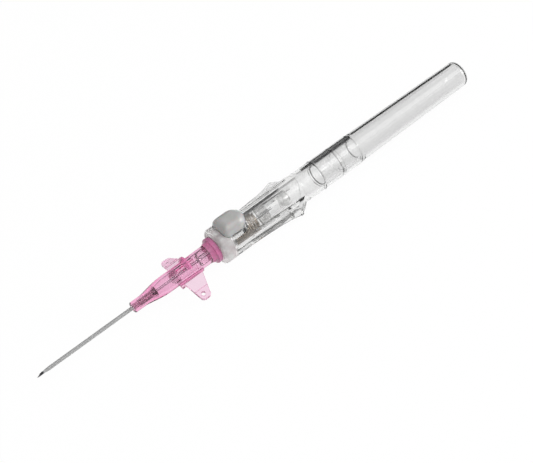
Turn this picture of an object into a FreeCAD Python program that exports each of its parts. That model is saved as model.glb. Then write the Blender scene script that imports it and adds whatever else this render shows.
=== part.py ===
import FreeCAD, Part
import math
import os

# Safety intravenous cannula, 20 gauge, with wings and a push button that lets a spring pull the needle back.
# Millimetres. X runs along the needle: the needle points to -X and the closed end of the grip to +X.
# Lengths along X are counted from the seat, where the hub's rear face meets the front of the grip,
# and heights from the needle's axis. The last step moves everything so that the origin lies on the
# resting surface, under the middle of the part. Z is up, and the button is on top.

Vector = FreeCAD.Vector
X_AXIS = Vector(1, 0, 0)
CENTRE = Vector(0, 0, 0)

# Needle
needle_radius = 0.375
needle_bore = 0.21
needle_tip = -60.6
needle_rear = 20.0
bevel_length = 2.7
lancet_length = 1.1
lancet_angle = 24.0

# Catheter tube and the metal wedge that clamps it in the hub
catheter_radius = 0.55
catheter_bore = 0.42
catheter_tip = -57.9
catheter_tip_taper = 1.4
catheter_tip_radius = 0.44
catheter_tip_bore = 0.395
catheter_seat_radius = 0.72
catheter_seat_cone = 0.2
wedge_front = -26.5
wedge_rear = -20.7
wedge_bore = 0.45
wedge_wall = 0.27
wedge_flare_radius = 1.28
wedge_flare_length = 1.6

# Catheter hub
hub_front = -28.6
hub_nose_radius = 1.64
hub_nose_length = 3.5
hub_body_start = -17.8
hub_body_front_radius = 2.6
hub_body_rear_radius = 2.75
hub_front_edge = 0.35
flange_radius = 3.9
flange_thickness = 1.4
flange_edge = 0.3
flange_cone = 1.5
socket_radius = 2.15
socket_depth = 7.5
socket_taper = 0.03
chamber_radius = 1.75
chamber_front = -17.4

# Wings and push tab of the hub
wing_droop = 19.0
wing_root_radius = 2.3
wing_front_root = -13.5
wing_rear_root = -6.6
wing_front_tip = -12.6
wing_rear_tip = -9.3
wing_span = 10.5
wing_tip_corner = 1.25
wing_thickness = 0.6
wing_pad_start = 7.1
wing_pad_thickness = 0.9
wing_rib_front = -14.4
wing_rib_rear = -6.3
wing_rib_reach = 3.2
wing_rib_thickness = 1.2
wing_hook_length = 0.9
wing_hook_reach = 4.0
suture_hole_radius = 0.65
suture_hole_x = -11.2
suture_hole_reach = 8.85
tab_radius = 3.62
tab_rear = -9.3
tab_thickness = 0.6
tab_ramp = 1.2
tab_half_angle = 52.0

# Septum and the small sleeve that opens it
septum_front = -15.2
septum_thickness = 2.0
septum_bore = 0.40
septum_lip = 0.5
actuator_gap = 0.3
actuator_length = 6.6
actuator_radius = 1.05
actuator_bore = 0.62
actuator_collar_radius = 1.68
actuator_collar_length = 0.9
actuator_collar_place = 3.6
actuator_tip_radius = 0.85

# Front housing: the nose, the barrel behind it and the sleeve for the rear tube
axis_height = 4.65
nose_half_width = 4.8
nose_top = 4.9
nose_corner = 3.2
nose_length = 11.6
nose_front_edge = 1.15
nose_rear_edge = 0.6
boss_length = 6.0
boss_clearance = 0.08
boss_bore = 0.6
front_wall = 1.3
saddle_radius = 4.65
saddle_side_end = 26.7
saddle_slope = 33.0
barrel_radius = 4.55
barrel_bore = 2.75
barrel_bore_end = 30.0
barrel_bore_cone = 1.5
middle_bore = 3.45
bead_radius = 4.65
bead_width = 0.7
sleeve_start = 37.0
sleeve_end = 50.7
sleeve_bore = 3.9
sleeve_rear_edge = 0.25

# Finger grips on both sides of the barrel
grip_start = 9.0
grip_front_reach = 4.85
grip_middle = 17.5
grip_middle_reach = 5.35
grip_bend = 21.0
grip_bend_reach = 5.9
grip_peak = 25.9
grip_peak_reach = 7.3
grip_peak_edge = 0.5
grip_end = 29.4
grip_end_reach = 4.3
grip_top = 1.55
grip_bottom = -2.5
grip_peak_top = 0.95
grip_peak_bottom = -1.95
grip_wall = 0.85
grip_rib = 0.7
grip_rib_place = 23.2

# Push button and its latch plate
button_front = 2.6
button_rear = 11.1
button_half_width = 3.6
button_top = 7.2
button_bottom = 4.15
button_crown = 2.3
button_front_corner = 1.3
button_wall = 0.9
button_clearance = 0.12
button_travel = 1.25
button_well_floor = 2.4
latch_front = 3.0
latch_thickness = 1.4
latch_half_width = 2.2
latch_foot = -1.7
latch_slot_clearance = 0.1
keyhole_neck_clearance = 0.1
keyhole_head_clearance = 0.15

# Needle carriage
carriage_head_radius = 1.5
carriage_head_length = 1.4
carriage_head_chamfer = 0.5
carriage_neck_radius = 0.95
carriage_nose_radius = 1.55
carriage_nose_gap = 0.2
seat_clearance = 0.2
collar_front = 13.9
collar_length = 1.7
collar_radius = 2.6
collar_edge = 0.3
spigot_radius = 1.95
spigot_length = 2.6
throat_clearance = 0.2

# Flash chamber and vent plug
flash_radius = 2.4
flash_end = 25.5
flash_edge = 0.3
vent_length = 2.2
vent_rim = 0.5

# Retraction spring, stored compressed
spring_wire = 0.44
spring_outer_radius = 2.58
spring_turns = 14
spring_end_gap = 0.03
retraction_travel = 65.0

# Rear tube
tube_front_radius = 4.42
tube_rear_radius = 3.92
tube_wall = 0.8
tube_end_wall = 0.9
tube_end_edge = 1.6
run_out_gap = 0.7
tube_end = flash_end + vent_rim + retraction_travel + run_out_gap + tube_end_wall
spigot_clearance = 0.05
snap_place = 44.0
snap_height = 0.12
snap_width = 0.6
shoulder_gap = 0.15


def fresh_folder():
    """Make the folder that the sub-parts are written to."""
    os.makedirs("parts", exist_ok=True)


def revolved(points, angle=360.0):
    """Turn a closed outline of (x, radius) points about the needle's axis."""
    corners = [Vector(x, 0, r) for x, r in points]
    corners.append(corners[0])
    outline = Part.Face(Part.makePolygon(corners))
    return outline.revolve(CENTRE, X_AXIS, angle)


def rod(x0, x1, radius):
    """A plain cylinder on the axis from x0 to x1."""
    return Part.makeCylinder(radius, x1 - x0, Vector(x0, 0, 0), X_AXIS)


def block(low, high):
    """A box between two corners."""
    size = [high[i] - low[i] for i in range(3)]
    return Part.makeBox(size[0], size[1], size[2], Vector(*low))


def plan_prism(points, bottom, top):
    """A prism whose outline is a list of (x, y) points."""
    corners = [Vector(x, y, bottom) for x, y in points]
    corners.append(corners[0])
    return Part.Face(Part.makePolygon(corners)).extrude(Vector(0, 0, top - bottom))


def side_prism(points, half_width):
    """A prism whose side outline is a list of (x, z) points."""
    corners = [Vector(x, -half_width, z) for x, z in points]
    corners.append(corners[0])
    return Part.Face(Part.makePolygon(corners)).extrude(Vector(0, 2 * half_width, 0))


def mirrored(shape):
    """The same shape on the other side of the part."""
    return shape.mirror(CENTRE, Vector(0, 1, 0))


def on_both_sides(shape):
    """A shape of the right side with its mirror image on the left."""
    return shape.fuse(mirrored(shape))


def edges_at_x(shape, x, least_radius=0.0):
    """The edges that lie in the plane at x, outside a radius from the axis."""
    found = []
    for edge in shape.Edges:
        box = edge.BoundBox
        reach = max(abs(box.YMin), abs(box.YMax), abs(box.ZMin), abs(box.ZMax))
        if abs(box.XMin - x) < 1e-4 and abs(box.XMax - x) < 1e-4 and reach > least_radius:
            found.append(edge)
    return found


def edges_at_z(shape, z):
    """The edges that lie in the plane at z."""
    return [e for e in shape.Edges if abs(e.BoundBox.ZMin - z) < 1e-4 and abs(e.BoundBox.ZMax - z) < 1e-4]


def rounded_section(x, half_width, bottom, top, corner):
    """A closed wire across the axis: a rectangle with round corners."""
    inner_y = half_width - corner
    low = bottom + corner
    high = top - corner
    centres = [(inner_y, high, 0), (-inner_y, high, 90), (-inner_y, low, 180), (inner_y, low, 270)]
    arcs = []
    for y, z, start in centres:
        points = []
        for turn in (0, 45, 90):
            angle = math.radians(start + turn)
            points.append(Vector(x, y + corner * math.cos(angle), z + corner * math.sin(angle)))
        arcs.append(Part.Arc(*points).toShape())
    edges = []
    for i, arc in enumerate(arcs):
        following = arcs[(i + 1) % len(arcs)]
        edges.append(arc)
        edges.append(Part.LineSegment(arc.Vertexes[-1].Point, following.Vertexes[0].Point).toShape())
    return Part.Wire(edges)


def make_needle():
    """A steel tube whose end is ground to a bevel, with two side facets that make the point."""
    tube = rod(needle_tip, needle_rear, needle_radius).cut(rod(needle_tip - 1, needle_rear + 1, needle_bore))
    above = needle_radius * 2
    slope = 2 * needle_radius / bevel_length
    wedge = side_prism(
        [
            (needle_tip, -needle_radius),
            (needle_tip + bevel_length * 1.5, -needle_radius + slope * bevel_length * 1.5),
            (needle_tip + bevel_length * 1.5, above * 3),
            (needle_tip - above, above * 3),
            (needle_tip - above, -needle_radius),
        ],
        above,
    )
    tube = tube.cut(wedge)
    facet = block((needle_tip - above, 0, -above), (needle_tip + lancet_length, above * 2, above * 2))
    facet.rotate(Vector(needle_tip, 0, -needle_radius), Vector(0, 0, 1), math.degrees(math.atan(0.3)))
    facet.rotate(Vector(needle_tip, 0, -needle_radius), X_AXIS, lancet_angle)
    return tube.cut(facet).cut(mirrored(facet))


def wedge_outer_radius():
    """The outside of the wedge's straight tube."""
    return wedge_bore + wedge_wall


def make_catheter_tube():
    """The soft tube: tapered tip, straight run, thicker seat in the hub and an end spread over the wedge."""
    wall = catheter_radius - catheter_bore
    spread = wedge_outer_radius()
    flare = wedge_rear - wedge_flare_length
    outline = [
        (catheter_tip, catheter_tip_bore),
        (catheter_tip, catheter_tip_radius),
        (catheter_tip + catheter_tip_taper, catheter_radius),
        (hub_front - catheter_seat_cone, catheter_radius),
        (hub_front, catheter_seat_radius),
        (wedge_front - wall * 2, catheter_seat_radius),
        (wedge_front, spread + wall),
        (flare, spread + wall),
        (wedge_rear - wall, wedge_flare_radius),
        (wedge_rear - wall, wedge_flare_radius - wall),
        (flare, spread),
        (wedge_front, spread),
        (wedge_front, wedge_bore),
        (wedge_front - wall * 2, catheter_bore),
        (catheter_tip + catheter_tip_taper, catheter_bore),
    ]
    return revolved(outline)


def make_catheter_wedge():
    """A thin metal eyelet with a wide funnel at its rear."""
    wall = catheter_radius - catheter_bore
    outer = wedge_outer_radius()
    flare = wedge_rear - wedge_flare_length
    outline = [
        (wedge_front, wedge_bore),
        (wedge_front, outer),
        (flare, outer),
        (wedge_rear - wall, wedge_flare_radius - wall),
        (wedge_rear - wall, wedge_flare_radius),
        (wedge_rear, wedge_flare_radius),
        (wedge_rear, wedge_flare_radius - wall),
        (flare + wedge_wall, wedge_bore),
    ]
    return revolved(outline)


def hub_socket_radius(x):
    """The radius of the hub's tapered socket at x."""
    return socket_radius + socket_taper * x


def make_hub_body():
    """The turned form of the hub: nose, ogive, body and flange."""
    nose_end = hub_front + hub_nose_length
    flange_front = -flange_thickness
    body_end = flange_front - flange_cone
    start = Vector(nose_end, 0, hub_nose_radius)
    end = Vector(hub_body_start, 0, hub_body_front_radius)
    ogive = Part.BezierCurve()
    length = hub_body_start - nose_end
    ogive.setPoles(
        [
            start,
            Vector(nose_end + length * 0.22, 0, hub_nose_radius + 0.12),
            Vector(nose_end + length * 0.62, 0, hub_body_front_radius - 0.08),
            end,
        ]
    )
    line_points = [
        end,
        Vector(body_end, 0, hub_body_rear_radius),
        Vector(flange_front, 0, flange_radius - 0.55),
        Vector(flange_front, 0, flange_radius),
        Vector(0, 0, flange_radius),
        Vector(0, 0, 0),
        Vector(hub_front, 0, 0),
        Vector(hub_front, 0, hub_nose_radius),
        start,
    ]
    edges = [ogive.toShape()]
    for a, b in zip(line_points, line_points[1:]):
        edges.append(Part.LineSegment(a, b).toShape())
    body = Part.Face(Part.Wire(edges)).revolve(CENTRE, X_AXIS, 360)
    body = body.makeFillet(hub_front_edge, edges_at_x(body, hub_front))
    rim = edges_at_x(body, 0, flange_radius - 0.1) + edges_at_x(body, flange_front, flange_radius - 0.1)
    return body.makeFillet(flange_edge, rim)


def make_wing():
    """One wing, lying flat on the right side of the hub: rib with a hook, plate, thicker tip with a hole."""
    half = wing_thickness / 2
    tip_y = wing_span
    centre_y = tip_y - wing_tip_corner

    def outline(first_y):
        share = (first_y - wing_root_radius) / (centre_y - wing_root_radius)
        front = wing_front_root + share * (wing_front_tip - wing_front_root)
        rear = wing_rear_root + share * (wing_rear_tip - wing_rear_root)
        front_centre = Vector(wing_front_tip + wing_tip_corner, centre_y, 0)
        rear_centre = Vector(wing_rear_tip - wing_tip_corner, centre_y, 0)
        half_turn = math.sqrt(0.5) * wing_tip_corner
        front_arc = Part.Arc(
            front_centre + Vector(-wing_tip_corner, 0, 0),
            front_centre + Vector(-half_turn, half_turn, 0),
            front_centre + Vector(0, wing_tip_corner, 0),
        )
        rear_arc = Part.Arc(
            rear_centre + Vector(0, wing_tip_corner, 0),
            rear_centre + Vector(half_turn, half_turn, 0),
            rear_centre + Vector(wing_tip_corner, 0, 0),
        )
        line = Part.LineSegment
        a = Vector(front, first_y, 0)
        b = Vector(rear, first_y, 0)
        edges = [
            line(a, front_arc.StartPoint).toShape(),
            front_arc.toShape(),
            line(front_arc.EndPoint, rear_arc.StartPoint).toShape(),
            rear_arc.toShape(),
            line(rear_arc.EndPoint, b).toShape(),
            line(b, a).toShape(),
        ]
        return Part.Face(Part.Wire(edges))

    plate = outline(wing_root_radius)
    plate.translate(Vector(0, 0, -half))
    wing = plate.extrude(Vector(0, 0, wing_thickness))
    pad = outline(wing_pad_start)
    pad.translate(Vector(0, 0, -wing_pad_thickness / 2))
    wing = wing.fuse(pad.extrude(Vector(0, 0, wing_pad_thickness)))
    rib_half = wing_rib_thickness / 2
    rib = block((wing_rib_front, wing_root_radius, -rib_half), (wing_rib_rear, wing_rib_reach, rib_half))
    hook = block(
        (wing_rib_front, wing_root_radius, -rib_half),
        (wing_rib_front + wing_hook_length, wing_hook_reach, rib_half),
    )
    wing = wing.fuse(rib).fuse(hook)
    hole = Part.makeCylinder(suture_hole_radius, 4, Vector(suture_hole_x, suture_hole_reach, -2))
    wing = wing.cut(hole)
    wing.rotate(CENTRE, X_AXIS, -wing_droop)
    return wing


def make_push_tab():
    """A low ramped fin round the top of the hub, for a fingertip."""
    root = hub_body_front_radius - 0.3
    front = tab_rear - tab_thickness
    outline = [(front - tab_ramp, root), (front, tab_radius), (tab_rear, tab_radius), (tab_rear, root)]
    tab = revolved(outline, 2 * tab_half_angle)
    tab.rotate(CENTRE, X_AXIS, -tab_half_angle)
    return tab


def make_catheter_hub():
    """The pink moulding: turned body, wings, tab and its stepped bore."""
    wall = catheter_radius - catheter_bore
    spread = wedge_outer_radius() + wall
    hub = make_hub_body().fuse(on_both_sides(make_wing())).fuse(make_push_tab())
    bore = [
        (hub_front - 1, 0),
        (hub_front - 1, catheter_seat_radius),
        (wedge_front - wall * 2, catheter_seat_radius),
        (wedge_front, spread),
        (wedge_rear - wedge_flare_length, spread),
        (wedge_rear - wall, wedge_flare_radius),
        (wedge_rear, wedge_flare_radius),
        (chamber_front, chamber_radius),
        (-socket_depth, chamber_radius),
        (-socket_depth, hub_socket_radius(-socket_depth)),
        (1, hub_socket_radius(1)),
        (1, 0),
    ]
    return hub.cut(revolved(bore)).removeSplitter()


def make_septum():
    """A soft disc across the hub's chamber, slit by the needle, with a thinner front."""
    rear = septum_front + septum_thickness
    outline = [
        (septum_front, septum_bore),
        (septum_front, chamber_radius - septum_lip),
        (septum_front + septum_lip, chamber_radius),
        (rear, chamber_radius),
        (rear, chamber_radius - septum_lip),
        (rear - septum_lip, actuator_bore),
        (rear - septum_lip, septum_bore),
    ]
    return revolved(outline)


def make_septum_actuator():
    """The small sleeve that a fitting pushes through the septum. It has a guide collar."""
    rear = -boss_length - actuator_gap
    front = rear - actuator_length
    collar = rear - actuator_collar_place
    outline = [
        (front, actuator_bore),
        (front, actuator_tip_radius),
        (front + 0.6, actuator_radius),
        (collar, actuator_radius),
        (collar + 0.3, actuator_collar_radius),
        (collar + actuator_collar_length, actuator_collar_radius),
        (collar + actuator_collar_length, actuator_radius),
        (rear, actuator_radius),
        (rear, actuator_bore),
    ]
    return revolved(outline)


def latch_rear():
    """The rear face of the latch plate."""
    return latch_front + latch_thickness


def spring_seat():
    """The wall that the spring's front end pushes against."""
    return latch_rear() + latch_slot_clearance + 0.7


def make_carriage():
    """The needle's holder: head and neck for the latch, a long nose inside the spring, a collar behind it."""
    head_rear = latch_front - seat_clearance
    head_front = head_rear - carriage_head_length
    nose_front = latch_rear() + carriage_nose_gap
    collar_rear = collar_front + collar_length
    outline = [
        (head_front, needle_radius),
        (head_front, carriage_head_radius - carriage_head_chamfer),
        (head_front + carriage_head_chamfer, carriage_head_radius),
        (head_rear, carriage_head_radius),
        (head_rear, carriage_neck_radius),
        (nose_front, carriage_neck_radius),
        (nose_front + 0.3, carriage_nose_radius),
        (collar_front, carriage_nose_radius),
        (collar_front, collar_radius),
        (collar_rear - collar_edge, collar_radius),
        (collar_rear, collar_radius - collar_edge),
        (collar_rear, spigot_radius),
        (collar_rear + spigot_length, spigot_radius),
        (collar_rear + spigot_length, needle_radius),
    ]
    return revolved(outline)


def make_flash_chamber():
    """A clear cup glued on the carriage's spigot, open at its rear for the vent plug."""
    front = collar_front + collar_length
    outline = [
        (front, spigot_radius),
        (front, flash_radius - flash_edge),
        (front + flash_edge, flash_radius),
        (flash_end - flash_edge, flash_radius),
        (flash_end, flash_radius - flash_edge / 2),
        (flash_end, spigot_radius),
    ]
    return revolved(outline)


def make_vent_plug():
    """The porous plug that lets air out of the flash chamber."""
    outline = [
        (flash_end - vent_length, 0),
        (flash_end - vent_length, spigot_radius - 0.2),
        (flash_end - vent_length + 0.4, spigot_radius),
        (flash_end, spigot_radius),
        (flash_end + vent_rim, spigot_radius - 0.4),
        (flash_end + vent_rim, 0),
    ]
    return revolved(outline)


def make_spring():
    """The compressed coil spring, one round wire."""
    start = spring_seat() + spring_end_gap + spring_wire / 2
    end = collar_front - spring_end_gap - spring_wire / 2
    mean = spring_outer_radius - spring_wire / 2
    length = end - start
    helix = Part.makeHelix(length / spring_turns, length, mean)
    helix.rotate(CENTRE, Vector(0, 1, 0), 90)
    helix.translate(Vector(start, 0, 0))
    first = helix.Edges[0].valueAt(helix.Edges[0].FirstParameter)
    along = helix.Edges[0].tangentAt(helix.Edges[0].FirstParameter)
    section = Part.Wire([Part.Circle(first, along, spring_wire / 2).toShape()])
    return Part.Wire(helix.Edges).makePipeShell([section], True, True)


def button_outline(grow):
    """The button's plan: a round rear end and a front with small corners, grown by a clearance."""
    reach = button_half_width + grow
    centre = button_rear - button_half_width
    front = button_front - grow
    corner = button_front_corner + grow
    turn = math.sqrt(0.5) * corner
    line = Part.LineSegment
    rear_arc = Part.Arc(Vector(centre, reach, 0), Vector(centre + reach, 0, 0), Vector(centre, -reach, 0))
    left_corner = Vector(front + corner, -reach + corner, 0)
    right_corner = Vector(front + corner, reach - corner, 0)
    left_arc = Part.Arc(
        left_corner + Vector(0, -corner, 0),
        left_corner + Vector(-turn, -turn, 0),
        left_corner + Vector(-corner, 0, 0),
    )
    right_arc = Part.Arc(
        right_corner + Vector(-corner, 0, 0),
        right_corner + Vector(-turn, turn, 0),
        right_corner + Vector(0, corner, 0),
    )
    edges = [
        rear_arc.toShape(),
        line(Vector(centre, -reach, 0), left_corner + Vector(0, -corner, 0)).toShape(),
        left_arc.toShape(),
        line(left_corner + Vector(-corner, 0, 0), right_corner + Vector(-corner, 0, 0)).toShape(),
        right_arc.toShape(),
        line(right_corner + Vector(0, corner, 0), Vector(centre, reach, 0)).toShape(),
    ]
    return Part.Face(Part.Wire(edges))


def button_solid(grow, bottom, top):
    """A straight prism on the button's plan."""
    outline = button_outline(grow)
    outline.translate(Vector(0, 0, bottom))
    return outline.extrude(Vector(0, 0, top - bottom))


def make_push_button():
    """A domed shell with the latch plate hanging from it, and a keyhole in the plate."""
    cap = button_solid(0, button_bottom, button_top)
    cap = cap.makeFillet(button_crown, edges_at_z(cap, button_top))
    inside = button_solid(-button_wall, button_bottom - 1, button_top - button_wall)
    inside = inside.makeFillet(button_crown - button_wall, edges_at_z(inside, button_top - button_wall))
    cap = cap.cut(inside)
    plate = block(
        (latch_front, -latch_half_width, latch_foot),
        (latch_rear(), latch_half_width, button_top - button_wall - 0.3),
    )
    neck_hole = carriage_neck_radius + keyhole_neck_clearance
    head_hole = carriage_head_radius + keyhole_head_clearance
    narrow = rod(latch_front - 1, latch_rear() + 1, neck_hole)
    slot = block((latch_front - 1, -neck_hole, 0), (latch_rear() + 1, neck_hole, button_travel))
    wide = rod(latch_front - 1, latch_rear() + 1, head_hole)
    wide.translate(Vector(0, 0, button_travel))
    plate = plate.cut(narrow).cut(slot).cut(wide)
    return cap.fuse(plate).removeSplitter()


def make_grip():
    """One finger grip: a pad on the barrel's right side that flares into a fin, with pockets in the fin."""
    outer = Part.BSplineCurve()
    outer.interpolate(
        [
            Vector(grip_start, grip_front_reach, 0),
            Vector(grip_middle, grip_middle_reach, 0),
            Vector(grip_bend, grip_bend_reach, 0),
            Vector(grip_peak - grip_peak_edge, grip_peak_reach, 0),
        ]
    )
    line = Part.LineSegment
    base = saddle_radius - 1.0
    corners = [
        Vector(grip_peak - grip_peak_edge, grip_peak_reach, 0),
        Vector(grip_peak, grip_peak_reach, 0),
        Vector(grip_end, grip_end_reach, 0),
        Vector(grip_end, base, 0),
        Vector(grip_start, base, 0),
        Vector(grip_start, grip_front_reach, 0),
    ]
    edges = [outer.toShape()]
    for a, b in zip(corners, corners[1:]):
        edges.append(line(a, b).toShape())
    tall = Part.Face(Part.Wire(edges))
    tall.translate(Vector(0, 0, grip_bottom - 1))
    tall = tall.extrude(Vector(0, 0, grip_top - grip_bottom + 2))
    side = side_prism(
        [
            (grip_start - 1, grip_bottom),
            (grip_middle, grip_bottom),
            (grip_peak, grip_peak_bottom),
            (grip_end + 1, grip_peak_bottom),
            (grip_end + 1, grip_peak_top),
            (grip_peak, grip_peak_top),
            (grip_middle, grip_top),
            (grip_start - 1, grip_top),
        ],
        grip_peak_reach + 1,
    )
    grip = tall.common(side)
    inner = saddle_radius + 0.15
    rib_half = grip_rib / 2
    rear_slope = (grip_end - grip_peak) / (grip_peak_reach - grip_end_reach)
    wall_at_rib = grip_bend_reach + (grip_peak_reach - grip_bend_reach) * 0.42 - grip_wall
    wall_at_peak = grip_peak_reach - grip_wall
    front_pocket = [
        (grip_bend - 1.2, inner),
        (grip_rib_place - rib_half, inner),
        (grip_rib_place - rib_half, wall_at_rib),
    ]
    rear_pocket = [
        (grip_rib_place + rib_half, inner),
        (grip_peak + rear_slope * (wall_at_peak - inner) - grip_wall, inner),
        (grip_peak - 0.5, wall_at_peak),
        (grip_rib_place + rib_half, wall_at_rib + 0.35),
    ]
    for pocket in (front_pocket, rear_pocket):
        grip = grip.cut(plan_prism(pocket, grip_bottom - 1, grip_top + 1))
    return grip


def make_boss():
    """The tapered male tip that fills the hub's socket."""
    root = hub_socket_radius(0) - boss_clearance
    tip = hub_socket_radius(-boss_length) - boss_clearance
    edge = 0.3
    return revolved(
        [
            (-boss_length, 0),
            (-boss_length, tip - edge),
            (-boss_length + edge, tip),
            (0, root),
            (1, root),
            (1, 0),
        ]
    )


def make_saddle():
    """The thicker front part of the barrel, cut off by a slanting plane behind the grips."""
    rise = saddle_radius * 2
    shift = rise * math.tan(math.radians(saddle_slope))
    full = rod(nose_length - 1, saddle_side_end + shift, saddle_radius)
    keep = side_prism(
        [
            (0, -rise),
            (saddle_side_end - shift, -rise),
            (saddle_side_end + shift, rise),
            (0, rise),
        ],
        rise,
    )
    return full.common(keep)


def make_front_housing():
    """The clear moulding: tip, nose with the button's well, barrel with grips, sleeve for the rear tube."""
    nose = Part.Face(rounded_section(0, nose_half_width, -axis_height, nose_top, nose_corner))
    nose = nose.extrude(Vector(nose_length, 0, 0))
    nose = nose.makeFillet(nose_front_edge, edges_at_x(nose, 0))
    nose = nose.makeFillet(nose_rear_edge, edges_at_x(nose, nose_length))
    sleeve = rod(nose_length - 1, sleeve_end, barrel_radius)
    sleeve = sleeve.makeFillet(sleeve_rear_edge, edges_at_x(sleeve, sleeve_end))
    bead = revolved(
        [
            (sleeve_start - bead_width / 2, barrel_radius - 0.3),
            (sleeve_start - bead_width / 2, barrel_radius),
            (sleeve_start - bead_width / 5, bead_radius),
            (sleeve_start + bead_width / 5, bead_radius),
            (sleeve_start + bead_width / 2, barrel_radius),
            (sleeve_start + bead_width / 2, barrel_radius - 0.3),
        ]
    )
    housing = nose.fuse(sleeve).fuse(make_saddle()).fuse(bead).fuse(make_boss())
    housing = housing.fuse(on_both_sides(make_grip()))

    throat = max(carriage_nose_radius, carriage_head_radius) + throat_clearance
    seat = spring_seat()
    snap_start = snap_place - snap_width
    groove = sleeve_bore + snap_height + spigot_clearance
    bore = [
        (-boss_length - 1, 0),
        (-boss_length - 1, boss_bore),
        (front_wall - 0.5, boss_bore),
        (front_wall, throat),
        (seat, throat),
        (seat, barrel_bore),
        (barrel_bore_end, barrel_bore),
        (barrel_bore_end + barrel_bore_cone, middle_bore),
        (sleeve_start, middle_bore),
        (sleeve_start, sleeve_bore),
        (snap_start, sleeve_bore),
        (snap_start + snap_height, groove),
        (snap_place + snap_width - snap_height, groove),
        (snap_place + snap_width, sleeve_bore),
        (sleeve_end + 1, sleeve_bore),
        (sleeve_end + 1, 0),
    ]
    housing = housing.cut(revolved(bore))
    well = button_solid(button_clearance, button_well_floor, nose_top + 1)
    slot = block(
        (
            latch_front - latch_slot_clearance,
            -latch_half_width - latch_slot_clearance,
            latch_foot - button_travel - 2 * latch_slot_clearance,
        ),
        (
            latch_rear() + latch_slot_clearance,
            latch_half_width + latch_slot_clearance,
            nose_top,
        ),
    )
    return housing.cut(well).cut(slot).removeSplitter()


def make_rear_tube():
    """The long closed tube that takes the needle in. Its front end snaps into the sleeve."""
    spigot = sleeve_bore - spigot_clearance
    shoulder = sleeve_end + shoulder_gap
    ridge = spigot + snap_height
    outer = [
        (sleeve_start + shoulder_gap, 0),
        (sleeve_start + shoulder_gap, spigot),
        (snap_place - snap_width / 2, spigot),
        (snap_place - snap_width / 4, ridge),
        (snap_place + snap_width / 4, ridge),
        (snap_place + snap_width / 2, spigot),
        (shoulder, spigot),
        (shoulder, tube_front_radius),
        (tube_end, tube_rear_radius),
        (tube_end, 0),
    ]
    tube = revolved(outer)
    tube = tube.makeFillet(tube_end_edge, edges_at_x(tube, tube_end))
    tube = tube.makeFillet(tube_wall / 4, edges_at_x(tube, shoulder, spigot + 0.1))
    inner_end = tube_end - tube_end_wall
    inner = revolved(
        [
            (sleeve_start - 1, 0),
            (sleeve_start - 1, spigot - tube_wall),
            (shoulder, spigot - tube_wall),
            (shoulder + 1.2, tube_front_radius - tube_wall),
            (inner_end, tube_rear_radius - tube_wall),
            (inner_end, 0),
        ]
    )
    inner = inner.makeFillet(tube_end_edge - tube_wall, edges_at_x(inner, inner_end))
    return tube.cut(inner)


def make_parts():
    """Every sub-part by name, in the frame of the seat and the needle's axis."""
    return {
        "needle": make_needle(),
        "needle_carriage": make_carriage(),
        "flash_chamber": make_flash_chamber(),
        "vent_plug": make_vent_plug(),
        "retraction_spring": make_spring(),
        "push_button": make_push_button(),
        "front_housing": make_front_housing(),
        "rear_tube": make_rear_tube(),
        "catheter_tube": make_catheter_tube(),
        "catheter_wedge": make_catheter_wedge(),
        "catheter_hub": make_catheter_hub(),
        "septum": make_septum(),
        "septum_actuator": make_septum_actuator(),
    }


def write_parts():
    """Move the sub-parts to the resting frame and write each one to its own file."""
    fresh_folder()
    to_rest = Vector(-(needle_tip + tube_end) / 2, 0, axis_height)
    for name, shape in make_parts().items():
        moved = shape.copy()
        moved.translate(to_rest)
        solids = moved.Solids
        whole = solids[0] if len(solids) == 1 else Part.makeCompound(solids)
        whole.exportStep("parts/" + name + ".step")
        box = whole.BoundBox
        print(f"{name}: {len(solids)} solid, valid {whole.isValid()}, {whole.Volume:.2f} mm3,", end=" ")
        print(f"x {box.XMin:.2f} to {box.XMax:.2f}, y {box.YMax:.2f}, z {box.ZMin:.2f} to {box.ZMax:.2f}")


write_parts()
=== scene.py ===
"""Looks of the intravenous cannula: clear and tinted mouldings, steel, soft light, the photograph's view."""

import math

import bpy
from mathutils import Matrix, Vector


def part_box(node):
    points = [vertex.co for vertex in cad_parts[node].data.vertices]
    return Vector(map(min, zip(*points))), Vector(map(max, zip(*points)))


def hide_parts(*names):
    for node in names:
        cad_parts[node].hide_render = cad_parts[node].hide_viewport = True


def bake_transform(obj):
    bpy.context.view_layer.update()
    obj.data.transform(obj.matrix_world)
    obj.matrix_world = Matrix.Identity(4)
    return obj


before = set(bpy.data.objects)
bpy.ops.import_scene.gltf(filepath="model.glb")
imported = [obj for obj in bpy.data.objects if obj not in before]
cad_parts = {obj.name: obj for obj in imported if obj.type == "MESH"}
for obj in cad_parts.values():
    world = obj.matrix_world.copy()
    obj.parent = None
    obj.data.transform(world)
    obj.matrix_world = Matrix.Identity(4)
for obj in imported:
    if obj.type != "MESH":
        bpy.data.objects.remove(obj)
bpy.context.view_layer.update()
scene = bpy.context.scene
MM = 0.001

# Lengths are in metres, in the row frame. The needle runs along X at this height, with its point at -X.
needle_low, needle_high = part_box("needle")
axis_height = (needle_low.z + needle_high.z) / 2

# Places along X where looks change
catheter_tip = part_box("catheter_tube")[0].x
hub_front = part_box("catheter_hub")[0].x
wedge_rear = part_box("catheter_wedge")[1].x
hub_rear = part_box("catheter_hub")[1].x
nose_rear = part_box("push_button")[0].x + 0.6 * MM
housing_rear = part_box("front_housing")[1].x

# Most of a noise's values lie between these two
noise_low = 0.3
noise_high = 0.7


# Node helpers


def new_material(name):
    """An empty node material and its output node."""
    made = bpy.data.materials.new(name)
    made.use_nodes = True
    made.node_tree.nodes.clear()
    output = made.node_tree.nodes.new("ShaderNodeOutputMaterial")
    return made, made.node_tree, output


def feed(tree, socket, value):
    """Gives a socket a value, or the output that feeds it."""
    if isinstance(value, bpy.types.NodeSocket):
        tree.links.new(value, socket)
    else:
        socket.default_value = value


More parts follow.
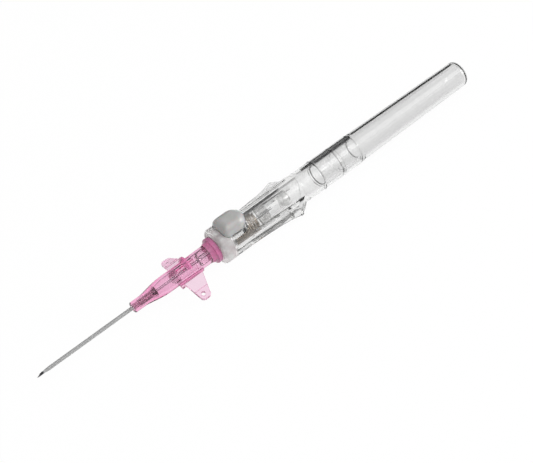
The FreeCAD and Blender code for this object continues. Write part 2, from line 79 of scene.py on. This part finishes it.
def add_node(tree, kind, settings=None, **sockets):
    """A node with its settings and its sockets' values, or the outputs that feed them."""
    node = tree.nodes.new(kind)
    for key, value in (settings or {}).items():
        setattr(node, key, value)
    for key, value in sockets.items():
        feed(tree, node.inputs[key.replace("_", " ")], value)
    return node


def reckon(tree, operation, *values, clamp=False):
    """A math node on sockets or plain numbers."""
    node = add_node(tree, "ShaderNodeMath", {"operation": operation, "use_clamp": clamp})
    for socket, value in zip(node.inputs, values):
        feed(tree, socket, value)
    return node.outputs["Value"]


def both(tree, first, second):
    return reckon(tree, "MULTIPLY", first, second)


def larger(tree, first, second):
    return reckon(tree, "MAXIMUM", first, second)


def ramp_value(tree, value, start, end, low, high, kind="SMOOTHSTEP"):
    """Goes from low to high while the value goes from start to end."""
    node = add_node(
        tree,
        "ShaderNodeMapRange",
        {"interpolation_type": kind},
        Value=value,
        From_Min=start,
        From_Max=end,
        To_Min=low,
        To_Max=high,
    )
    return node.outputs["Result"]


def rises(tree, value, start, end):
    return ramp_value(tree, value, start, end, 0.0, 1.0)


def falls(tree, value, start, end):
    return ramp_value(tree, value, start, end, 1.0, 0.0)


def between(tree, factor, low, high):
    """A noise, mapped to the range from low to high."""
    return ramp_value(tree, factor, noise_low, noise_high, low, high, "LINEAR")


def noise(tree, size, detail=3.0, stretch=(1.0, 1.0, 1.0)):
    """Noise in the object's own frame, with blotches of about one size, stretched along each axis."""
    place = add_node(tree, "ShaderNodeTexCoord")
    scaled = add_node(tree, "ShaderNodeMapping", Vector=place.outputs["Object"])
    scaled.inputs["Scale"].default_value = tuple(1.0 / (size * s) for s in stretch)
    blotches = add_node(
        tree,
        "ShaderNodeTexNoise",
        Vector=scaled.outputs["Vector"],
        Scale=1.0,
        Detail=detail,
        Roughness=0.55,
    )
    return blotches.outputs["Fac"]


def tones(tree, factor, *stops):
    """A colour ramp; each stop is a place and an RGB colour."""
    node = add_node(tree, "ShaderNodeValToRGB", Fac=factor)
    ramp = node.color_ramp
    while len(ramp.elements) < len(stops):
        ramp.elements.new(0.5)
    for element, (place, colour) in zip(ramp.elements, stops):
        element.position = place
        element.color = (*colour, 1.0)
    return node.outputs["Color"]


def two_tones(tree, factor, first, second):
    """A noise, mapped to the colours from the first to the second."""
    return tones(tree, factor, (noise_low, first), (noise_high, second))


def mixed_colour(tree, factor, colour, other):
    """The colour socket, turning by the factor to another one, which is a socket or an RGB colour."""
    node = add_node(tree, "ShaderNodeMix", {"data_type": "RGBA"}, Factor=factor)
    if not isinstance(other, bpy.types.NodeSocket):
        other = (*other, 1.0)
    feed(tree, node.inputs[6], colour)
    feed(tree, node.inputs[7], other)
    return node.outputs[2]


def mixed_shader(tree, factor, first, second):
    """One shader, turning to another by the factor."""
    node = add_node(tree, "ShaderNodeMixShader", Fac=factor)
    tree.links.new(first, node.inputs[1])
    tree.links.new(second, node.inputs[2])
    return node.outputs["Shader"]


def bump(tree, height, depth, strength):
    node = add_node(tree, "ShaderNodeBump", Height=height, Distance=depth, Strength=strength)
    return node.outputs["Normal"]


def edge_factor(tree, width):
    """1 on a sharp edge, falling to 0 about a width away from it."""
    bevel = add_node(tree, "ShaderNodeBevel", {"samples": 8}, Radius=width)
    flat = add_node(tree, "ShaderNodeNewGeometry")
    same = add_node(tree, "ShaderNodeVectorMath", {"operation": "DOT_PRODUCT"})
    tree.links.new(bevel.outputs["Normal"], same.inputs[0])
    tree.links.new(flat.outputs["Normal"], same.inputs[1])
    return falls(tree, same.outputs["Value"], 0.8, 0.99)


def place_parts(tree):
    """The place's X along the needle, its height over the axis, and its distance from the axis."""
    place = add_node(tree, "ShaderNodeTexCoord")
    parts = add_node(tree, "ShaderNodeSeparateXYZ", Vector=place.outputs["Object"])
    aside = parts.outputs["Y"]
    over = reckon(tree, "SUBTRACT", parts.outputs["Z"], axis_height)
    squares = reckon(tree, "ADD", both(tree, aside, aside), both(tree, over, over))
    return parts.outputs["X"], over, reckon(tree, "SQRT", squares)


def principled(tree, output, **sockets):
    """The surface shader, with its sockets' values, or the outputs that feed them."""
    shader = add_node(tree, "ShaderNodeBsdfPrincipled", **sockets)
    tree.links.new(shader.outputs["BSDF"], output.inputs["Surface"])


def absorb(tree, output, absorbed):
    """A body colour: how much of red, green and blue a millimetre takes."""
    most = max(absorbed)
    volume = add_node(tree, "ShaderNodeVolumeAbsorption")
    volume.inputs["Color"].default_value = tuple(1.0 - a / most for a in absorbed) + (1.0,)
    volume.inputs["Density"].default_value = most / MM
    tree.links.new(volume.outputs["Volume"], output.inputs["Volume"])


# Materials

frosted_tint = (0.90, 0.895, 0.89)
frosted_shade = (0.80, 0.73, 0.735)
frosted_roughness = 0.38
frosted_transmission = 0.6
frosted_fade = 2 * MM
grip_tint = (0.86, 0.86, 0.86)
grip_roughness = 0.18
barrel_radius = 4.6 * MM
front_fade = 0.4 * MM


def clear_moulding(
    name, tint, absorbed, roughness=0.03, index=1.55, transmission=1.0, front=None, frosted_to=None
):
    """A clear moulding. Its front is a place along X and the colour ahead of it.

    With frosted_to, it is frosted from the hub's rear to that place, and its finger grips slightly.
    """
    made, tree, output = new_material(name)
    clouds = noise(tree, 2.2 * MM, 2.0)
    flow = noise(tree, 0.9 * MM, 3.0, (4.0, 1.0, 1.0))
    rough = between(tree, clouds, roughness * 0.7, roughness * 1.4)
    colour = two_tones(tree, clouds, [c * 0.985 for c in tint], tint)
    along, _, radius = place_parts(tree)
    if frosted_to is not None:
        grips = both(
            tree,
            rises(tree, radius, barrel_radius, barrel_radius + 0.3 * MM),
            rises(tree, along, frosted_to, frosted_to + frosted_fade),
        )
        rough = larger(tree, rough, both(tree, grips, grip_roughness))
        colour = mixed_colour(tree, grips, colour, grip_tint)
        frost = both(
            tree,
            rises(tree, along, hub_rear - front_fade, hub_rear),
            falls(tree, along, frosted_to, frosted_to + frosted_fade),
        )
        rough = larger(tree, rough, both(tree, frost, frosted_roughness))
        cloudy = noise(tree, 1.8 * MM, 2.0)
        frosted = tones(tree, cloudy, (0.38, frosted_shade), (0.62, frosted_tint))
        colour = mixed_colour(tree, frost, colour, frosted)
        transmission = ramp_value(tree, frost, 0.0, 1.0, transmission, frosted_transmission)
    if front is not None:
        place, front_tint = front
        ahead = falls(tree, along, place - front_fade, place)
        colour = mixed_colour(tree, ahead, colour, front_tint)
    principled(
        tree,
        output,
        Base_Color=colour,
        Transmission_Weight=transmission,
        Roughness=rough,
        Normal=bump(tree, flow, 0.004 * MM, 0.5),
        IOR=index,
    )
    absorb(tree, output, absorbed)
    return made


hub_pale = (0.93, 0.80, 0.87)
hub_nose = (0.93, 0.74, 0.83)
# Painted colour: the deeper pink that light shows through thick plastic and along edges
hub_painted_deep = (0.82, 0.28, 0.52)
hub_absorbed = (0.01, 0.19, 0.09)
hub_body_radius = 2.72 * MM
wing_root_radius = 3.15 * MM
tab_height = 0.8 * MM
flange_length = 1.9 * MM


def tinted_hub(name):
    """The pink moulding: pale where it is thin, with a deeper pink painted at its flange, tab, wing roots
    and edges, standing in for light through thick plastic and glowing along edges.
    """
    made, tree, output = new_material(name)
    clouds = noise(tree, 1.6 * MM)
    fine = noise(tree, 0.9 * MM, 3.0, (3.0, 1.0, 1.0))
    along, over, radius = place_parts(tree)
    # Painted light: a deeper pink painted where light crosses more plastic (flange, tab, wing roots), and a
    # painted glow along the edges
    flange = rises(tree, along, hub_rear - flange_length, hub_rear - flange_length + 0.4 * MM)
    outside = rises(tree, radius, hub_body_radius, hub_body_radius + 0.13 * MM)
    root = both(tree, outside, falls(tree, radius, wing_root_radius, wing_root_radius + 0.15 * MM))
    tab = both(tree, outside, rises(tree, over, tab_height, tab_height + 0.4 * MM))
    edges = both(tree, edge_factor(tree, 0.22 * MM), 0.75)
    painted_deep_mask = larger(tree, larger(tree, flange, root), larger(tree, tab, edges))
    pale = two_tones(tree, clouds, hub_pale, [c * 0.97 for c in hub_pale])
    nose = falls(tree, along, wedge_rear, wedge_rear + 0.8 * MM)
    pale = mixed_colour(tree, nose, pale, hub_nose)
    principled(
        tree,
        output,
        Base_Color=mixed_colour(tree, painted_deep_mask, pale, hub_painted_deep),
        Transmission_Weight=ramp_value(tree, painted_deep_mask, 0.0, 1.0, 1.0, 0.4),
        Roughness=between(tree, fine, 0.05, 0.09),
        Normal=bump(tree, fine, 0.001 * MM, 0.3),
        IOR=1.33,
    )
    absorb(tree, output, hub_absorbed)
    return made


def milky_moulding(name, dark, light, transmission, roughness):
    """A milky plastic: partly see-through, with soft light inside."""
    made, tree, output = new_material(name)
    clouds = noise(tree, 2.4 * MM)
    fine = noise(tree, 0.18 * MM, 2.0)
    principled(
        tree,
        output,
        Base_Color=two_tones(tree, clouds, dark, light),
        Transmission_Weight=transmission,
        Subsurface_Weight=0.25,
        Subsurface_Scale=0.8 * MM,
        Roughness=between(tree, fine, roughness * 0.85, roughness * 1.2),
        Normal=bump(tree, fine, 0.004 * MM, 0.5),
        IOR=1.5,
    )
    return made


# Near-black steel colour: a painted dark reflection on the needle's point and the wedge's flare
painted_dark_steel = (0.06, 0.06, 0.065)


def drawn_steel(name, dark, light, roughness, painted_dark_where=None):
    """Steel with fine marks along the needle's axis; where a factor says so, a dark reflection is painted
    into its colour.
    """
    made, tree, output = new_material(name)
    streaks = noise(tree, 0.4 * MM, 2.0, (30.0, 1.0, 1.0))
    colour = two_tones(tree, streaks, dark, light)
    if painted_dark_where is not None:
        # Painted dark reflection: the colour turns near-black where the factor is 1
        colour = mixed_colour(tree, painted_dark_where(tree), colour, painted_dark_steel)
    principled(
        tree,
        output,
        Base_Color=colour,
        Metallic=1.0,
        Roughness=between(tree, streaks, roughness * 0.85, roughness * 1.2),
        Normal=bump(tree, streaks, 0.001 * MM, 0.3),
    )
    return made


def on_bevel(tree):
    """1 on the needle's ground point, where a dark reflection is painted, 0 behind it."""
    along, _, _ = place_parts(tree)
    return falls(tree, along, catheter_tip - 0.9 * MM, catheter_tip - 0.1 * MM)


def on_flare(tree):
    """Nearly 1 on the wedge's wide rear end, where a dark reflection is painted, 0 on its tube."""
    along, _, _ = place_parts(tree)
    return ramp_value(tree, along, wedge_rear - 1.8 * MM, wedge_rear - 1.1 * MM, 0.0, 0.95)


seated_tint = (0.95, 0.93, 0.94)


def soft_tube(name):
    """The thin translucent plastic of the catheter, clearer where it is seated in the hub."""
    made, tree, output = new_material(name)
    streaks = noise(tree, 0.4 * MM, 2.0, (20.0, 1.0, 1.0))
    along, _, _ = place_parts(tree)
    seated = rises(tree, along, hub_front, hub_front + 1.0 * MM)
    colour = two_tones(tree, streaks, (0.56, 0.56, 0.56), (0.60, 0.60, 0.595))
    principled(
        tree,
        output,
        Base_Color=mixed_colour(tree, seated, colour, seated_tint),
        Transmission_Weight=ramp_value(tree, seated, 0.0, 1.0, 0.5, 0.97),
        Roughness=between(tree, streaks, 0.14, 0.2),
        Normal=bump(tree, streaks, 0.001 * MM, 0.3),
        IOR=1.4,
    )
    return made


def porous_plug(name):
    """A sintered plug with small pores, which lets much of the light through."""
    made, tree, output = new_material(name)
    place = add_node(tree, "ShaderNodeTexCoord")
    cells = add_node(
        tree, "ShaderNodeTexVoronoi", Vector=place.outputs["Object"], Scale=1 / (0.16 * MM)
    )
    grains = cells.outputs["Distance"]
    principled(
        tree,
        output,
        Base_Color=tones(tree, grains, (0.1, (0.99, 0.99, 0.985)), (0.8, (0.96, 0.96, 0.95))),
        Transmission_Weight=0.97,
        Roughness=0.3,
        Normal=bump(tree, grains, 0.01 * MM, 0.4),
        IOR=1.04,
    )
    return made


def rubber(name):
    """Soft silicone, slightly cloudy."""
    made, tree, output = new_material(name)
    clouds = noise(tree, 0.5 * MM)
    principled(
        tree,
        output,
        Base_Color=two_tones(tree, clouds, (0.94, 0.92, 0.93), (0.98, 0.97, 0.975)),
        Transmission_Weight=0.97,
        Roughness=between(tree, clouds, 0.05, 0.1),
        Normal=bump(tree, clouds, 0.004 * MM, 0.3),
        IOR=1.08,
    )
    return made


tube_tint = (0.87, 0.87, 0.87)
tube_absorbed = (0.018, 0.018, 0.019)
sleeved_tint = (0.96, 0.96, 0.96)
housing_tint = (0.93, 0.93, 0.93)
housing_absorbed = (0.008, 0.008, 0.009)
inserted_tint = (1.0, 1.0, 1.0)
carriage_tint = (0.985, 0.98, 0.975)
carriage_absorbed = (0.004, 0.004, 0.005)
chamber_tint = (0.985, 0.985, 0.985)
actuator_tint = (0.99, 0.985, 0.985)
faint_absorbed = (0.004, 0.004, 0.004)

finishes = {
    # The needle's point gets a painted dark reflection
    "needle": drawn_steel("steel_needle", (0.50, 0.50, 0.51), (0.57, 0.575, 0.58), 0.15, on_bevel),
    "needle_carriage": clear_moulding(
        "carriage_plastic", carriage_tint, carriage_absorbed, roughness=0.05, index=1.25
    ),
    "flash_chamber": clear_moulding("chamber_plastic", chamber_tint, faint_absorbed, index=1.25),
    "vent_plug": porous_plug("vent_plastic"),
    "push_button": milky_moulding(
        "button_plastic", (0.52, 0.515, 0.51), (0.58, 0.575, 0.57), transmission=0.3, roughness=0.22
    ),
    "front_housing": clear_moulding(
        "clear_housing",
        housing_tint,
        housing_absorbed,
        transmission=0.98,
        front=(hub_rear, inserted_tint),
        frosted_to=nose_rear,
    ),
    "rear_tube": clear_moulding(
        "clear_plastic", tube_tint, tube_absorbed, front=(housing_rear, sleeved_tint)
    ),
    "catheter_tube": soft_tube("catheter_plastic"),
    # The wedge's flared rear end gets a painted dark reflection
    "catheter_wedge": drawn_steel("steel_wedge", (0.60, 0.57, 0.58), (0.72, 0.69, 0.70), 0.08, on_flare),
    "catheter_hub": tinted_hub("pink_hub"),
    "septum": rubber("septum_rubber"),
    "septum_actuator": clear_moulding("actuator_plastic", actuator_tint, faint_absorbed, index=1.08),
}


def dress(obj, material):
    obj.data.materials.clear()
    obj.data.materials.append(material)


for node_name, finish in finishes.items():
    dress(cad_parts[node_name], finish)


# The retraction spring: a round wire with closed ends; the real spring stretches as the needle goes back

spring_wire = 0.44 * MM
spring_turns = 14
spring_closed_turns = 1.2
spring_open_turns = spring_turns - 2 * spring_closed_turns
points_a_turn = 40
points_round_wire = 12


def coil_line(low, high):
    """Points along the wire's middle, in the node's box: closed turns at both ends, even ones between."""
    mean = (high.y - low.y) / 2 - spring_wire / 2
    run = high.x - low.x - spring_wire
    open_pitch = (run - 2 * spring_closed_turns * spring_wire) / spring_open_turns
    points = []
    x = low.x + spring_wire / 2
    for i in range(spring_turns * points_a_turn + 1):
        turn = i / points_a_turn
        angle = 2 * math.pi * turn
        points.append(Vector((x, mean * math.sin(angle), axis_height + mean * math.cos(angle))))
        closed = turn < spring_closed_turns or turn >= spring_turns - spring_closed_turns
        x += (spring_wire if closed else open_pitch) / points_a_turn
    return points


def sweep(name, points, radius, sides):
    """A round wire along the points, closed at its ends."""
    vertices, faces = [], []
    for i, point in enumerate(points):
        before, after = points[max(i - 1, 0)], points[min(i + 1, len(points) - 1)]
        along = (after - before).normalized()
        outward = Vector((0, point.y, point.z - axis_height)).normalized()
        across = along.cross(outward).normalized()
        outward = across.cross(along)
        for k in range(sides):
            turn = 2 * math.pi * k / sides
            vertices.append(point + radius * (math.cos(turn) * outward + math.sin(turn) * across))
    for i in range(len(points) - 1):
        for k in range(sides):
            a, b = i * sides + k, i * sides + (k + 1) % sides
            faces.append((a, b, b + sides, a + sides))
    faces.append(tuple(range(sides - 1, -1, -1)))
    last = (len(points) - 1) * sides
    faces.append(tuple(range(last, last + sides)))
    mesh = bpy.data.meshes.new(name)
    mesh.from_pydata(vertices, [], faces)
    mesh.shade_smooth()
    obj = bpy.data.objects.new(name, mesh)
    scene.collection.objects.link(obj)
    return obj


spring_low, spring_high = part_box("retraction_spring")
spring = sweep("coil_spring", coil_line(spring_low, spring_high), spring_wire / 2, points_round_wire)
dress(spring, drawn_steel("spring_wire", (0.26, 0.22, 0.175), (0.48, 0.42, 0.36), 0.2))
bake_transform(spring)
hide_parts("retraction_spring")


# Camera: the photograph's viewing angle

aim = Vector((-0.00255, -0.00658, 0.00531))
camera_distance = 0.5
camera_azimuth = math.radians(-28.62)
camera_elevation = math.radians(45.28)
camera_roll = math.radians(-14.79)
camera_lens = 123.25

toward = Vector(
    (
        math.sin(camera_azimuth) * math.cos(camera_elevation),
        -math.cos(camera_azimuth) * math.cos(camera_elevation),
        math.sin(camera_elevation),
    )
)
level_side = (-toward).cross(Vector((0, 0, 1))).normalized()
level_up = level_side.cross(-toward)
right = math.cos(camera_roll) * level_side + math.sin(camera_roll) * level_up
up = right.cross(-toward)
camera_data = bpy.data.cameras.new("camera")
camera_data.lens = camera_lens
camera_data.sensor_width = 36.0
camera_data.clip_start = 0.01
camera_data.clip_end = 20.0
camera = bpy.data.objects.new("camera", camera_data)
camera.matrix_world = Matrix.Translation(aim + camera_distance * toward) @ Matrix(
    (right, up, toward)
).transposed().to_4x4()
scene.collection.objects.link(camera)
scene.camera = camera


# Studio: a pale floor, soft lamps, a white surround and dark flags that draw the clear edges


def seen_factor(tree):
    """1 for what the camera, a reflection or a look through clear plastic sees, 0 for the light itself."""
    path = add_node(tree, "ShaderNodeLightPath")
    total = path.outputs["Is Camera Ray"]
    for name in ("Is Glossy Ray", "Is Transmission Ray"):
        total = reckon(tree, "ADD", total, path.outputs[name], clamp=True)
    return total


def panel(name, corners, material):
    """A flat stage piece from four corners."""
    mesh = bpy.data.meshes.new(name)
    mesh.from_pydata([Vector(c) for c in corners], [], [(0, 1, 2, 3)])
    obj = bpy.data.objects.new(name, mesh)
    scene.collection.objects.link(obj)
    dress(obj, material)
    return obj


floor_half = 0.8
floor_shade = (0.98, 0.98, 0.98)
floor_white = (0.99, 0.99, 0.99)
floor_glow = 0.97

floor_material, floor_tree, floor_output = new_material("floor")
floor_clouds = noise(floor_tree, 0.05, 2.0)
floor_diffuse = add_node(
    floor_tree, "ShaderNodeBsdfDiffuse", Color=two_tones(floor_tree, floor_clouds, floor_shade, floor_white)
)
floor_light = add_node(floor_tree, "ShaderNodeEmission", Strength=1.0)
floor_shader = mixed_shader(
    floor_tree,
    both(floor_tree, seen_factor(floor_tree), floor_glow),
    floor_diffuse.outputs["BSDF"],
    floor_light.outputs["Emission"],
)
floor_tree.links.new(floor_shader, floor_output.inputs["Surface"])
floor_corners = [(x * floor_half, y * floor_half, 0) for x, y in ((-1, -1), (1, -1), (1, 1), (-1, 1))]
panel("floor", floor_corners, floor_material)

room_bright = (0.75, 0.75, 0.75)
room_dark = (0.45, 0.45, 0.45)
room_level = 0.75

world = bpy.data.worlds.new("studio")
scene.world = world
world.use_nodes = True
world_tree = world.node_tree
world_tree.nodes.clear()
world_output = add_node(world_tree, "ShaderNodeOutputWorld")
direction = add_node(world_tree, "ShaderNodeTexCoord")
facing = add_node(world_tree, "ShaderNodeSeparateXYZ", Vector=direction.outputs["Generated"])
behind = rises(world_tree, facing.outputs["Y"], 0.1, 0.6)
low_down = falls(world_tree, facing.outputs["Z"], 0.25, 0.8)
room_tones = tones(world_tree, both(world_tree, behind, low_down), (0.0, room_bright), (1.0, room_dark))
room_light = add_node(world_tree, "ShaderNodeBackground", Color=room_tones, Strength=room_level)
camera_path = add_node(world_tree, "ShaderNodeLightPath")
room_seen = mixed_colour(world_tree, camera_path.outputs["Is Camera Ray"], room_tones, (1.0, 1.0, 1.0))
room_shown = add_node(world_tree, "ShaderNodeBackground", Color=room_seen, Strength=1.0)
room_shader = mixed_shader(
    world_tree,
    seen_factor(world_tree),
    room_light.outputs["Background"],
    room_shown.outputs["Background"],
)
world_tree.links.new(room_shader, world_output.inputs["Surface"])


def soft_lamp(name, place, long_side, short_side, watts):
    """A softbox that looks at the part, with its long side along X."""
    data = bpy.data.lights.new(name, "AREA")
    data.shape = "RECTANGLE"
    data.size = long_side
    data.size_y = short_side
    data.energy = watts
    lamp = bpy.data.objects.new(name, data)
    lamp.visible_camera = False
    away = Vector(place).normalized()
    side = Vector((1, 0, 0))
    side = (side - away * side.dot(away)).normalized()
    turned = Matrix((side, away.cross(side), away)).transposed().to_4x4()
    lamp.matrix_world = Matrix.Translation(Vector(place)) @ turned
    scene.collection.objects.link(lamp)


soft_lamp("top_softbox", (0.1, -0.42, 0.9), long_side=1.6, short_side=0.6, watts=4.0)
soft_lamp("side_softbox", (0.9, -0.5, 0.35), long_side=0.6, short_side=0.6, watts=7.0)

flag_black = (0.015, 0.015, 0.015)
flag_grey = (0.025, 0.025, 0.025)

flag_material, flag_tree, flag_output = new_material("dark_flag")
flag_clouds = noise(flag_tree, 0.02, 2.0)
flag_diffuse = add_node(
    flag_tree, "ShaderNodeBsdfDiffuse", Color=two_tones(flag_tree, flag_clouds, flag_black, flag_grey)
)
flag_tree.links.new(flag_diffuse.outputs["BSDF"], flag_output.inputs["Surface"])


def dark_flag(name, start, end, distance, top):
    """A black card beside the part, seen only in reflections and through clear walls."""
    card = panel(
        name,
        [(start, distance, 0.0), (end, distance, 0.0), (end, distance, top), (start, distance, top)],
        flag_material,
    )
    card.visible_camera = False
    card.visible_diffuse = False
    card.visible_shadow = False


tail_flag_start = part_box("rear_tube")[0].x + 0.006
dark_flag("tail_flag", tail_flag_start, 0.088, distance=0.026, top=0.07)
dark_flag("grip_flag", hub_rear, tail_flag_start, distance=0.05, top=0.05)
dark_flag("near_flag", -0.006, 0.022, distance=-0.05, top=0.03)

# Light passes many walls on its way through nested clear pieces
scene.cycles.max_bounces = 32
scene.cycles.transmission_bounces = 32
scene.view_settings.view_transform = "Standard"
